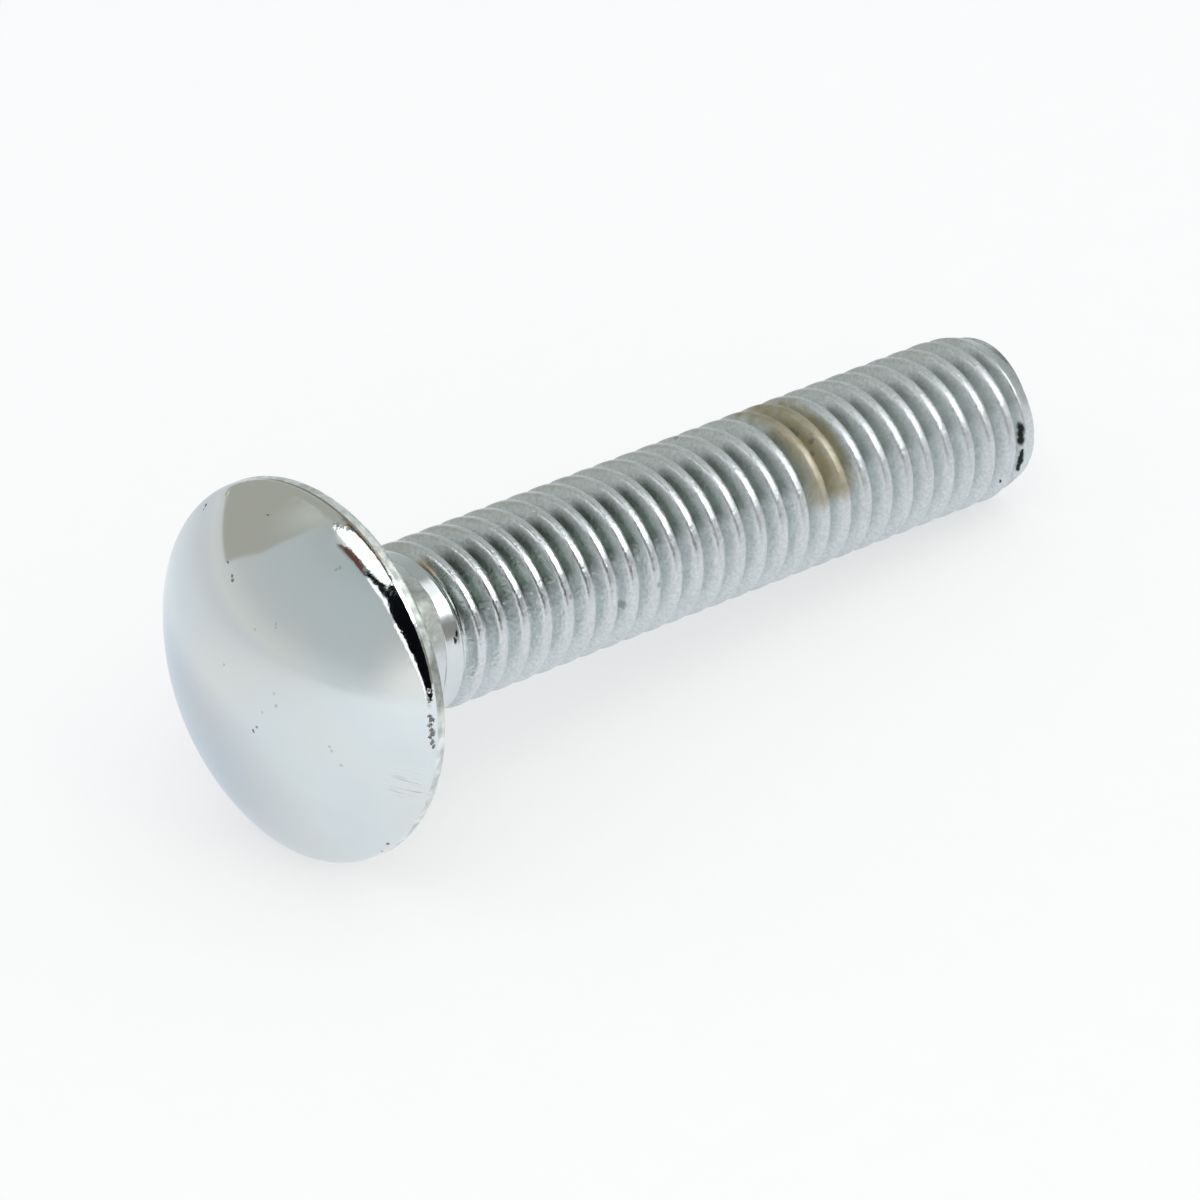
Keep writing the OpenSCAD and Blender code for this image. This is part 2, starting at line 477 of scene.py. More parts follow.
bolt = make_bolt()
standing = lying.inverted()
surface = BVHTree.FromPolygons(
    [standing @ vertex.co for vertex in bolt.data.vertices],
    [tuple(polygon.vertices) for polygon in bolt.data.polygons],
)


# Materials

def seen_at(px_x, px_y):
    """The point of the standing bolt, in millimetres, that shows at a pixel of the photo."""
    rightwards = (px_x - IMAGE_PX / 2) / FOCAL_PX
    upwards = (IMAGE_PX / 2 - px_y) / FOCAL_PX
    ray = standing.to_3x3() @ (ahead + right * rightwards + up * upwards)
    return surface.ray_cast(standing @ camera_place, ray.normalized())[0]


def bolt_coordinates(tree):
    """Where a surface point is on the standing bolt, in millimetres: x, y and z along the bolt."""
    back = turn.transposed()
    place = put(tree, "ShaderNodeTexCoord", out="Object")
    return put(tree, "ShaderNodeMapping", {
        "Vector": place,
        "Location": back @ seat * (-1 / MM),
        "Rotation": back.to_euler(),
        "Scale": (1 / MM, 1 / MM, 1 / MM),
    })


# Share of its radius up to which a mark is full
MARK_CORE = 0.4


def marks(tree, at, places, squash=1):
    """1 inside small marks and 0 outside; each is a pixel x and y and a radius in millimetres.

    A mark is full up to MARK_CORE of its radius. A squash of 2 halves the marks along the bolt,
    so that they run round it.
    """
    scale = Vector((1, 1, squash))
    squashed = put(tree, VECTOR_MATH, {0: at, 1: scale}, operation="MULTIPLY")
    marked = None
    for px_x, px_y, radius in places:
        away = put(tree, VECTOR_MATH, {0: squashed, 1: seen_at(px_x, px_y) * scale},
                   out="Value", operation="DISTANCE")
        mark = put(tree, MAP_RANGE, {
            "Value": away, "From Min": radius, "From Max": radius * MARK_CORE,
        }, interpolation_type="SMOOTHSTEP")
        if marked is None:
            marked = mark
        else:
            marked = put(tree, MATH, {0: marked, 1: mark}, operation="MAXIMUM")
    return marked


def shaken(tree, at, size, detail, reach):
    """A place that noise moves a little, so that marks laid at it get uneven outlines."""
    shake = put(tree, NOISE, {"Vector": at, "Scale": 1 / size, "Detail": detail}, out="Color")
    shake = put(tree, VECTOR_MATH, {0: shake, 1: (0.5, 0.5, 0.5)}, operation="SUBTRACT")
    return put(tree, VECTOR_MATH, {0: shake, 1: (reach, reach, reach), 2: at},
               operation="MULTIPLY_ADD")


def outwards_from_axis(tree, at):
    """The direction out from the bolt's axis, and the distance from it in millimetres."""
    level_out = put(tree, VECTOR_MATH, {0: at, 1: (1, 1, 0)}, operation="MULTIPLY")
    distance = put(tree, VECTOR_MATH, {0: level_out}, out="Value", operation="LENGTH")
    return put(tree, VECTOR_MATH, {0: level_out}, operation="NORMALIZE"), distance


def on_side(tree, outwards, angle, none, full, ramp="SMOOTHSTEP"):
    """1 on the side of the bolt at an angle, and 0 beyond so many degrees from its middle."""
    middle = math.radians(angle)
    beside = put(tree, VECTOR_MATH, {
        0: outwards, 1: (math.cos(middle), math.sin(middle), 0),
    }, out="Value", operation="DOT_PRODUCT")
    return put(tree, MAP_RANGE, {
        "Value": beside,
        "From Min": math.cos(math.radians(none)),
        "From Max": math.cos(math.radians(full)),
    }, interpolation_type=ramp)


# Small pits and ticks in the polished dome
DOME_PITS = [
    (206, 505, 0.13), (204, 509, 0.10), (268, 515, 0.10), (228, 562, 0.12), (232, 576, 0.10),
    (233, 580, 0.11), (257, 727, 0.13), (253, 731, 0.10), (388, 844, 0.13),
    (382, 851, 0.10),
]

# Fainter ticks
FAINT_TICKS = [
    (276, 624, 0.12), (276, 628, 0.12), (255, 630, 0.11), (224, 664, 0.12), (274, 694, 0.12),
    (276, 706, 0.14), (329, 747, 0.13), (332, 751, 0.12), (262, 712, 0.12), (341, 765, 0.13),
    (345, 519, 0.30), (338, 525, 0.20), (352, 527, 0.22), (340, 568, 0.16), (336, 569, 0.12),
]

# Pits that have opened in the plate on the rim, below the dark streak and at its top
RIM_PITS = [
    (430, 716, 0.17), (432, 720, 0.19), (430, 725, 0.16), (432, 730, 0.18), (433, 734, 0.21),
    (430, 737, 0.15), (432, 742, 0.20), (434, 747, 0.14), (429, 690, 0.12),
]

# Rust that shows through the plate along the top of the rim
RUST = [(349, 524, 0.36), (361, 535, 0.36), (371, 546, 0.34), (380, 557, 0.30)]

# Fine scratches run across this spot, towards the second pixel. They are a tenth of a millimetre
# wide and show over a radius that fades, in millimetres
SCRATCHES = (404, 786)
SCRATCHES_TO = (424, 790)
SCRATCH_WIDTH = 0.11111
SCRATCH_LENGTH = 2
SCRATCHES_CORE = 0.6
SCRATCHES_END = 2.6

# Where the buffing stopped, a grey-brown line follows the top of the rim: its height, the angle
# of its middle, and the degrees to either side at which it ends and is full
LINE_H = 0.06
LINE_AT = 185
LINE_ENDS = 34
LINE_FULL = 22

# Sizes of the chrome's patterns and of the relief in it, in millimetres
HAZE_SIZE = 2.857
TINT_SIZE = 8.333
RIM_WAVE_SIZE = 0.5556
MARK_SHAKE_SIZE = 0.2222
MARK_SHAKE = 0.35
RIM_WAVE_H = 0.02
SCRATCH_DEPTH = 0.05
PIT_DEPTH = 0.04

# Heights over the straight edge at which the uneven relief starts and is full, in millimetres,
# and the share of it that is left on the dome
RIM_WAVE_FROM = 0.95
RIM_WAVE_FULL = 0.6
DOME_WAVE = 0.04


def polished_chrome(material):
    """Chrome plate on buffed steel: a cool mirror with faint haze, pitted and worn at its rim.

    To the eye it is sharp and bright on the dome, and broken up where the edge rolls over. The
    real haze and scratches are finer than the render shows, so both are drawn coarser.
    """
    material.use_nodes = True
    tree = material.node_tree
    tree.nodes.clear()
    at = bolt_coordinates(tree)
    height = put(tree, "ShaderNodeSeparateXYZ", {"Vector": at}, out="Z")
    outwards = outwards_from_axis(tree, at)[0]
    uneven_at = shaken(tree, at, MARK_SHAKE_SIZE, 4.0, MARK_SHAKE)
    pits = marks(tree, uneven_at, DOME_PITS + RIM_PITS)
    ticks = marks(tree, uneven_at, FAINT_TICKS)
    rust = marks(tree, uneven_at, RUST)

    # Haze of the buffed plate over warmer and cooler parts
    haze = put(tree, NOISE, {"Vector": at, "Scale": 1 / HAZE_SIZE, "Detail": 4.0}, out="Fac")
    tint = put(tree, NOISE, {"Vector": at, "Scale": 1 / TINT_SIZE, "Detail": 1.0}, out="Fac")
    tint = put(tree, MAP_RANGE, {"Value": tint, "From Min": 0.38, "From Max": 0.62})
    cool = put(tree, MIX, {
        "Factor": haze,
        "A": linear("#CFD8DA"),
        "B": linear("#DAE1E3"),
    }, out=2, data_type="RGBA")
    colour = put(tree, MIX, {
        "Factor": tint,
        "A": cool,
        "B": linear("#DADCDA"),
    }, out=2, data_type="RGBA")

    # The brown line at the top of the rim
    line = put(tree, MAP_RANGE, {
        "Value": height, "From Min": -EDGE_H - LINE_H, "From Max": -EDGE_H,
    })
    on_top = on_side(tree, outwards, LINE_AT, LINE_ENDS, LINE_FULL, ramp="LINEAR")
    line = put(tree, MATH, {0: line, 1: on_top}, operation="MULTIPLY")

    # Scratches: noise drawn out along one direction
    spot = seen_at(*SCRATCHES)
    drawn = (seen_at(*SCRATCHES_TO) - spot).normalized()
    sideways = drawn.cross(spot - Vector((0, 0, DOME_Z))).normalized()
    length = put(tree, VECTOR_MATH, {0: at, 1: drawn}, out="Value", operation="DOT_PRODUCT")
    width = put(tree, VECTOR_MATH, {0: at, 1: sideways}, out="Value", operation="DOT_PRODUCT")
    drawn_out = put(tree, "ShaderNodeCombineXYZ", {
        "X": put(tree, MATH, {0: length, 1: 1 / SCRATCH_LENGTH}, operation="MULTIPLY"),
        "Y": put(tree, MATH, {0: width, 1: 1 / SCRATCH_WIDTH}, operation="MULTIPLY"),
    })
    lines = put(tree, NOISE, {"Vector": drawn_out, "Scale": 1.0, "Detail": 2.0}, out="Fac")
    away = put(tree, VECTOR_MATH, {0: at, 1: spot}, out="Value", operation="DISTANCE")
    near = put(tree, MAP_RANGE, {
        "Value": away, "From Min": SCRATCHES_END, "From Max": SCRATCHES_CORE,
    }, interpolation_type="SMOOTHSTEP")
    scratched = put(tree, MATH, {0: lines, 1: near}, operation="MULTIPLY")
    deep = put(tree, MAP_RANGE, {
        "Value": scratched, "From Min": 0.54, "From Max": 0.68, "To Max": 0.4,
    })

    # What lies on the plate, each over the last: where it is, how much it covers, its colour
    layers = [
        (line, 1.0, "#A1988A"),
        (rust, 0.6, "#B79B7E"),
        (ticks, 0.3, "#6E6A66"),
        (pits, 0.8, "#5E4A42"),
        (deep, 1.0, "#8C8177"),
    ]
    for where, cover, tone in layers:
        colour = put(tree, MIX, {
            "Factor": put(tree, MATH, {0: where, 1: cover}, operation="MULTIPLY"),
            "A": colour,
            "B": linear(tone),
        }, out=2, data_type="RGBA")

    # Relief: the rolled edge is uneven, the dome hardly at all
    rim = put(tree, MAP_RANGE, {
        "Value": height,
        "From Min": -EDGE_H - RIM_WAVE_FROM,
        "From Max": -EDGE_H - RIM_WAVE_FULL,
        "To Min": DOME_WAVE,
    })
    wave = put(tree, NOISE, {"Vector": at, "Scale": 1 / RIM_WAVE_SIZE, "Detail": 3.0}, out="Fac")
    relief = put(tree, "ShaderNodeBump", {
        "Height": wave, "Strength": rim, "Distance": RIM_WAVE_H * MM,
    })
    relief = put(tree, "ShaderNodeBump", {
        "Height": scratched, "Distance": SCRATCH_DEPTH * MM, "Normal": relief,
    })
    relief = put(tree, "ShaderNodeBump", {
        "Height": pits, "Distance": -PIT_DEPTH * MM, "Normal": relief,
    })
    worn = put(tree, MATH, {0: pits, 1: line}, operation="MAXIMUM")
    roughness = put(tree, MAP_RANGE, {"Value": haze, "To Min": 0.05, "To Max": 0.09})
    roughness = put(tree, MIX, {"Factor": worn, "A": roughness, "B": 0.4})
    shader = put(tree, "ShaderNodeBsdfPrincipled", {
        "Base Color": colour,
        "Metallic": 1.0,
        "Roughness": roughness,
        "Normal": relief,
    })
    put(tree, "ShaderNodeOutputMaterial", {"Surface": shader})


# Tan stain on two crests: the pixel of its middle, the cosines between which it grows full round
# the bolt, the millimetres between which it grows full along it, and how ragged that edge is
STAIN = (802, 434)
STAIN_ROUND = (0.48, 0.70)
STAIN_ALONG = (2.2, 1.6)
STAIN_RAGGED = 0.6

# Dark specks on the thread, painted shade in the slots where its last groove runs out at the
# point, and on the land a black spot of painted reflection
THREAD_SPECKS_SHADE_AND_REFLECTION = [
    (1021, 428, 0.44), (1021, 434, 0.48), (1021, 440, 0.42), (1022, 451, 0.26), (1022, 454, 0.27),
    (1021, 457, 0.27), (1021, 460, 0.27), (1020, 463, 0.27), (1019, 466, 0.27), (1018, 469, 0.25),
    # The last two are a painted reflection: the black spot on the land
    (1000, 481, 0.20), (455, 640, 0.30), (457, 633, 0.24),
]

# Fainter spots on its crests and beside the stain
THREAD_SPOTS = [
    (622, 605, 0.36), (659, 585, 0.26), (676, 437, 0.24), (571, 597, 0.22), (792, 431, 0.26),
    (796, 434, 0.24), (811, 441, 0.22), (812, 454, 0.20),
]

# A brown tint on the top of the neck
NECK_BROWN_TINT = [(424, 566, 0.6), (430, 573, 0.5)]

# Angles round the bolt at which the straight edge of the head is darker, and at which olive
# painted shade lies in the grooves of the thread, with the degrees to either side at which each
# ends and is full
EDGE_DARKER = 234
EDGE_DARKER_ENDS = 32
EDGE_DARKER_FULL = 14
GROOVE_SHADE = 211
GROOVE_SHADE_ENDS = 33
GROOVE_SHADE_FULL = 17

# The painted groove shade thins out between these distances from the seat, to this share
GROOVE_SHADE_THINS_FROM = 20
GROOVE_SHADE_THINS_TO = 45
GROOVE_SHADE_LEFT = 0.55

# The painted groove shade ends this far inside the roots, so that the flat end has none, and
# the grooves' tone goes over into the crests' from this height over the roots on
GROOVE_SHADE_ENDS_INSIDE = 0.2
GROOVE_SHADE_FULL_INSIDE = 0.1
CREST_TONE_H = 0.35

# Distances from the seat: where the plate goes from the smooth land to the rolled thread, where
# the land's shine ends, the share of the grain that the land has, and where the thread starts
# and stops growing duller towards the point
ROLLED_FROM = 6.4
ROLLED_FULL = 7.6
LAND_GRAIN = 0.1
DULLER_FROM = 8
DULLEST_FROM = 34

# Radii at which the skin of the neck's corners starts and is full, and the width of the border
# over which the straight edge's finish starts
NECK_SKIN_FROM = 4.8
NECK_SKIN_FULL = 5.3
EDGE_BORDER = 0.1

# Sizes of the satin plate's patterns and of the relief in it, in millimetres
CLOUD_SIZE = 2
GRAIN_SIZE = 0.2
LUMP_SIZE = 0.4545
MOTTLE_SIZE = 0.625
SPOT_SHAKE_SIZE = 0.3333
SPOT_SHAKE = 0.25
LUMP_H = 0.03
GRAIN_H = 0.024

# A thin dark line of painted shade goes round the bolt just before the end of the neck: its
# distance from the seat, and the distances from its middle at which it ends and is full
SHADE_LINE_Z = NECK_DEPTH - 0.15
SHADE_LINE_ENDS = 0.10
SHADE_LINE_FULL = 0.03


def satin_plate(material):
    """Bright plate straight over rolled steel that was never buffed: a satin, grainy metal.

    To the eye it is soft and silvery, with bright broken streaks on the crests near the neck,
    grooves made darker and greener on one side with painted shade, and a duller skin towards the
    point. The real grain is finer than the render shows, so it is drawn as coarse as the photo's
    own grain.
    """
    material.use_nodes = True
    tree = material.node_tree
    tree.nodes.clear()
    at = bolt_coordinates(tree)
    height = put(tree, "ShaderNodeSeparateXYZ", {"Vector": at}, out="Z")
    outwards, radius = outwards_from_axis(tree, at)
    clouds = put(tree, NOISE, {"Vector": at, "Scale": 1 / CLOUD_SIZE, "Detail": 4.0}, out="Fac")
    grain = put(tree, NOISE, {"Vector": at, "Scale": 1 / GRAIN_SIZE, "Detail": 2.0}, out="Fac")
    lumps = put(tree, NOISE, {"Vector": at, "Scale": 1 / LUMP_SIZE, "Detail": 2.0}, out="Fac")
    ragged = put(tree, NOISE, {"Vector": at, "Scale": 1 / MOTTLE_SIZE, "Detail": 3.0}, out="Fac")
    mottle = put(tree, MAP_RANGE, {"Value": ragged, "From Min": 0.35, "From Max": 0.65})

    # Crests and grooves, with painted shade in the grooves on one side but not on the flat end
    depth = put(tree, MAP_RANGE, {
        "Value": radius, "From Min": ROOT_R + CREST_TONE_H, "From Max": THREAD_R,
    })
    crest = put(tree, MIX, {
        "Factor": clouds,
        "A": linear("#CBD0D2"),
        "B": linear("#DCE1E3"),
    }, out=2, data_type="RGBA")
    groove_shade = on_side(tree, outwards, GROOVE_SHADE, GROOVE_SHADE_ENDS, GROOVE_SHADE_FULL)
    thinned = put(tree, MAP_RANGE, {
        "Value": height,
        "From Min": GROOVE_SHADE_THINS_FROM,
        "From Max": GROOVE_SHADE_THINS_TO,
        "To Min": 1.0,
        "To Max": GROOVE_SHADE_LEFT,
    })
    groove_shade = put(tree, MATH, {0: groove_shade, 1: thinned}, operation="MULTIPLY")
    in_groove = put(tree, MAP_RANGE, {
        "Value": radius,
        "From Min": ROOT_R - GROOVE_SHADE_ENDS_INSIDE,
        "From Max": ROOT_R - GROOVE_SHADE_FULL_INSIDE,
    })
    groove_shade = put(tree, MATH, {0: groove_shade, 1: in_groove}, operation="MULTIPLY")
    root = put(tree, MIX, {
        "Factor": groove_shade,
        "A": linear("#D3DADB"),
        "B": linear("#7C8680"),
    }, out=2, data_type="RGBA")
    colour = put(tree, MIX, {
        "Factor": depth,
        "A": root,
        "B": crest,
    }, out=2, data_type="RGBA")

    # Grain of the plate, hardly any of it on the land
    rolled = put(tree, MAP_RANGE, {
        "Value": height, "From Min": ROLLED_FROM, "From Max": ROLLED_FULL, "To Min": LAND_GRAIN,
    })
    darker = put(tree, MAP_RANGE, {
        "Value": grain, "From Min": 0.3, "From Max": 0.7, "To Min": -0.14, "To Max": 0.07,
    })
    spread = put(tree, MATH, {0: darker, 1: rolled, 2: 1.0}, operation="MULTIPLY_ADD")
    colour = put(tree, VECTOR_MATH, {0: colour, "Scale": spread}, operation="SCALE")

    # The neck's corners were drawn by the die and are duller and more olive than the thread
    neck_skin = put(tree, MAP_RANGE, {
        "Value": radius, "From Min": NECK_SKIN_FROM, "From Max": NECK_SKIN_FULL,
    })
    dull_grey = put(tree, MIX, {
        "Factor": put(tree, MATH, {0: mottle, 1: grain}, operation="MULTIPLY"),
        "A": linear("#ACB0AC"),
        "B": linear("#E6E8E4"),
    }, out=2, data_type="RGBA")
    colour = put(tree, MIX, {
        "Factor": neck_skin,
        "A": colour,
        "B": dull_grey,
    }, out=2, data_type="RGBA")
    # A thin line of painted shade goes round the bolt just before the end of the neck
    to_shade_line = put(tree, MATH, {0: height, 1: SHADE_LINE_Z}, operation="SUBTRACT")
    to_shade_line = put(tree, MATH, {0: to_shade_line}, operation="ABSOLUTE")
    shade_line = put(tree, MAP_RANGE, {
        "Value": to_shade_line, "From Min": SHADE_LINE_ENDS, "From Max": SHADE_LINE_FULL,
    })

    # Stain: it covers one side of two crests and has an uneven edge
    middle = seen_at(*STAIN)
    side = Vector((middle.x, middle.y, 0)).normalized()
    facing_stain = put(tree, VECTOR_MATH, {0: outwards, 1: side}, out="Value",
                       operation="DOT_PRODUCT")
    round_it = put(tree, MAP_RANGE, {
        "Value": facing_stain, "From Min": STAIN_ROUND[0], "From Max": STAIN_ROUND[1],
    }, interpolation_type="SMOOTHSTEP")
    along = put(tree, MATH, {0: height, 1: middle.z}, operation="SUBTRACT")
    along = put(tree, MATH, {0: along}, operation="ABSOLUTE")
    along = put(tree, MATH, {0: ragged, 1: STAIN_RAGGED, 2: along}, operation="MULTIPLY_ADD")
    along_it = put(tree, MAP_RANGE, {
        "Value": along, "From Min": STAIN_ALONG[0], "From Max": STAIN_ALONG[1],
    }, interpolation_type="SMOOTHSTEP")
    stain = put(tree, MATH, {0: round_it, 1: along_it}, operation="MULTIPLY")
    blotches = put(tree, MAP_RANGE, {
        "Value": ragged, "From Min": 0.35, "From Max": 0.6, "To Min": 0.95, "To Max": 0.72,
    })
    blotched = put(tree, MATH, {0: stain, 1: blotches}, operation="MULTIPLY")

    # What lies on the plate, each over the last: where it is, how much it covers, its colour. The
    # line before the end of the neck and the slots are painted shade, the spot on the land a
    # painted reflection
    uneven_at = shaken(tree, at, SPOT_SHAKE_SIZE, 2.0, SPOT_SHAKE)
    layers = [
        (shade_line, 0.6, "#6A6E6C"),
        (marks(tree, at, NECK_BROWN_TINT), 0.38, "#A98B63"),
        (blotched, 1.0, "#ABA387"),
        (marks(tree, uneven_at, THREAD_SPOTS), 0.45, "#4F5E66"),
        (marks(tree, uneven_at, THREAD_SPECKS_SHADE_AND_REFLECTION, squash=2.2), 1.0, "#2F3533"),
    ]
    for where, cover, tone in layers:
        colour = put(tree, MIX, {
            "Factor": put(tree, MATH, {0: where, 1: cover}, operation="MULTIPLY"),
            "A": colour,
            "B": linear(tone),
        }, out=2, data_type="RGBA")

    # The straight edge of the head was never buffed: grey, dull and mottled, and darker on one
    # side
    on_edge = put(tree, MAP_RANGE, {
        "Value": radius,
        "From Min": HEAD_R - SEAT_ROUND - EDGE_BORDER,
        "From Max": HEAD_R - EDGE_BORDER,
    })
    mottled = put(tree, MIX, {
        "Factor": mottle,
        "A": linear("#C7CDCB"),
        "B": linear("#F0F4F2"),
    }, out=2, data_type="RGBA")
    darker_side = put(tree, MIX, {
        "Factor": mottle,
        "A": linear("#929995"),
        "B": linear("#CCD1CD"),
    }, out=2, data_type="RGBA")
    mottled = put(tree, MIX, {
        "Factor": on_side(tree, outwards, EDGE_DARKER, EDGE_DARKER_ENDS, EDGE_DARKER_FULL),
        "A": mottled,
        "B": darker_side,
    }, out=2, data_type="RGBA")
    colour = put(tree, MIX, {
        "Factor": on_edge,
        "A": colour,
        "B": mottled,
    }, out=2, data_type="RGBA")

    # The plate is brighter near the neck and duller towards the point, and smoothest on the land
    smooth = put(tree, MAP_RANGE, {"Value": grain, "To Min": 0.24, "To Max": 0.36})
    dull = put(tree, MAP_RANGE, {"Value": grain, "To Min": 0.40, "To Max": 0.54})
    to_point = put(tree, MAP_RANGE, {
        "Value": height, "From Min": DULLER_FROM, "From Max": DULLEST_FROM,
    })
    roughness = put(tree, MIX, {"Factor": to_point, "A": smooth, "B": dull})
    land = put(tree, MAP_RANGE, {
        "Value": height, "From Min": ROLLED_FULL, "From Max": ROLLED_FROM,
    })
    for where, finish in [(land, 0.2), (stain, 0.55), (neck_skin, 0.6), (on_edge, 0.5)]:
        roughness = put(tree, MIX, {"Factor": where, "A": roughness, "B": finish})
    relief = put(tree, "ShaderNodeBump", {
        "Height": lumps, "Strength": rolled, "Distance": LUMP_H * MM,
    })
    relief = put(tree, "ShaderNodeBump", {
        "Height": grain, "Strength": rolled, "Distance": GRAIN_H * MM, "Normal": relief,
    })
    shader = put(tree, "ShaderNodeBsdfPrincipled", {
        "Base Color": colour,
        "Metallic": 1.0,
        "Roughness": roughness,
        "Normal": relief,
    })
    put(tree, "ShaderNodeOutputMaterial", {"Surface": shader})


polished_chrome(chrome)
satin_plate(satin)

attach(bolt, "root")
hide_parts("carriage_bolt")


def make_camera():
    """The photo's camera, which the scene is rendered from."""
    data = bpy.data.cameras.new("camera")
    data.sensor_width = SENSOR
    data.lens = SENSOR * FOCAL_PX / IMAGE_PX
    data.clip_start = CLIP_START
    data.clip_end = CLIP_END
    camera = bpy.data.objects.new("camera", data)
    bpy.context.scene.collection.objects.link(camera)
    turned = Matrix((right, up, -ahead)).transposed()
    camera.matrix_world = Matrix.LocRotScale(camera_place, turned.to_quaternion(), None)
    bpy.context.scene.camera = camera


make_camera()


# Studio: a pale floor, a softbox above, and a tent with cards that only reflections see

# Paper: half its width, the distances between which it goes over into the tent, and the middle
# and radii of the head's painted shadow, in metres; its fibre in millimetres, coarser than in
# real paper so that it shows
PAPER_HALF = 1.5
PAPER_NEAR = 0.05
PAPER_END = 0.35
HEAD_SHADE = (-0.023, 0.012, 0)
HEAD_SHADE_END = 0.019
HEAD_SHADE_FULL = 0.006
FIBRE_SIZE = 2.5

# How far to the back the painted light on the reflected paper goes from bright to grey, in
# metres, and the sines of the azimuth between which its far corner on the lamp's side grows
# bright with painted light
BRIGHT_UP_TO = -0.07
GREY_FROM = 0.11
CORNER_FROM = -0.07
CORNER_FULL = -0.56

# Share of the paper's painted light and shade that reflections see near the bolt, share of plain
# white that the camera sees, strength of the light from all round, and radius of the tent in
# metres
PAPER_GLOW = 0.75
PAPER_WHITE = 0.55
AMBIENT = 0.84
TENT_R = 0.9

# Shades of the tent by the sine of the elevation, from the floor up
TENT_SHADES = [
    (0.001, "#E4E7E8"),
    (0.08, "#DADFE0"),
    (0.17, "#CDD3D5"),
    (0.45, "#C9D0D2"),
    (0.66, "#C4CBCC"),
    (0.78, "#87908A"),
    (0.88, "#5C6760"),
    (0.999, "#4F5B54"),
]

# Cards: corners as azimuth and elevation, colour, strength and soft border. Later ones cover
# earlier ones. The dome shows the grey board and the bright corner, its rolled edge shows the
# boards, gaps and openings, and the thread shows the room's dim side and the side softbox
CARDS = {
    "dim side": ([(-30, 3), (85, 5), (78, 60), (-26, 64)], "#C2C8C6", 1.0, 0.12),
    "dark corner": ([(-26, 1), (10, 3), (8, 48), (-22, 50)], "#535A56", 1.0, 0.10),
    "overhead softbox": ([(150, 52), (180, 53), (210, 54), (240, 54), (250, 80), (130, 78)],
                         "#FFFFFF", 1.7, 0.01),
    "dark band": ([(-118, 0), (-24, 0), (-24, 21), (-62, 28), (-118, 32)], "#96918C", 1.0, 0.08),
    "side softbox": ([(-96, 43), (-60, 34), (-38, 26), (-24, 26), (-20, 49), (-60, 63), (-96, 68)],
                     "#FFFFFF", 5.5, 0.05),
    "softbox top": ([(-60, 50), (-24, 36), (2, 39), (2, 54), (-40, 64)], "#FFFFFF", 1.7, 0.08),
    "bright corner": ([(194, -30), (245, -30), (240, 19), (204, 15)], "#FFFFFF", 1.02, 0.18),
    "grey board": ([(60, 3.2), (119, 3.2), (132, 18), (140, 33), (146, 45), (136, 74), (60, 74)],
                   "#B7B8AF", 1.0, 0.01),
    "board glow": ([(128, 29), (141, 35), (148, 47), (132, 56)], "#D2D4CD", 1.0, 0.14),
    "softbox glow": ([(156, 46), (170, 47), (170, 60), (150, 60)], "#FFFFFF", 1.3, 0.16),
    "brown board": ([(158, 42.5), (181, 41), (181, 53.5), (168, 52)], "#6B4A40", 1.0, 0.01),
    "bright gap above": ([(183, 41), (206, 34), (211, 40), (188, 46)], "#FFFFFF", 1.5, 0.01),
    "bright gap": ([(205, 29), (225, 3), (236, 6), (211, 37)], "#FFFFFF", 1.5, 0.01),
    "dark opening above": ([(180, 41), (214, 46), (214, 54), (186, 50.5)], "#0B0D11", 1.0, 0.01),
    "dark opening": ([(206, 36), (235, 11), (273, -3), (293, -4), (296, 4), (262, 50), (234, 61),
                      (213, 53)], "#0B0D11", 1.0, 0.01),
}


def new_material(name):
    """An empty material and its node tree."""
    material = bpy.data.materials.new(name)
    material.use_nodes = True
    tree = material.node_tree
    tree.nodes.clear()
    return material, tree


def bright(hex_colour, strength):
    """A colour of light at a strength, as RGBA."""
    return [channel * strength for channel in linear(hex_colour)[:3]] + [1]


def towards(azimuth, elevation):
    """Unit vector; azimuth turns from +X to +Y, both in degrees."""
    a = math.radians(azimuth)
    e = math.radians(elevation)
    return Vector((math.cos(e) * math.cos(a), math.cos(e) * math.sin(a), math.sin(e)))


def facing(direction):
    """A turn that points local -Z against the direction, so that a lamp faces the bolt."""
    return direction.to_track_quat("Z", "Y")


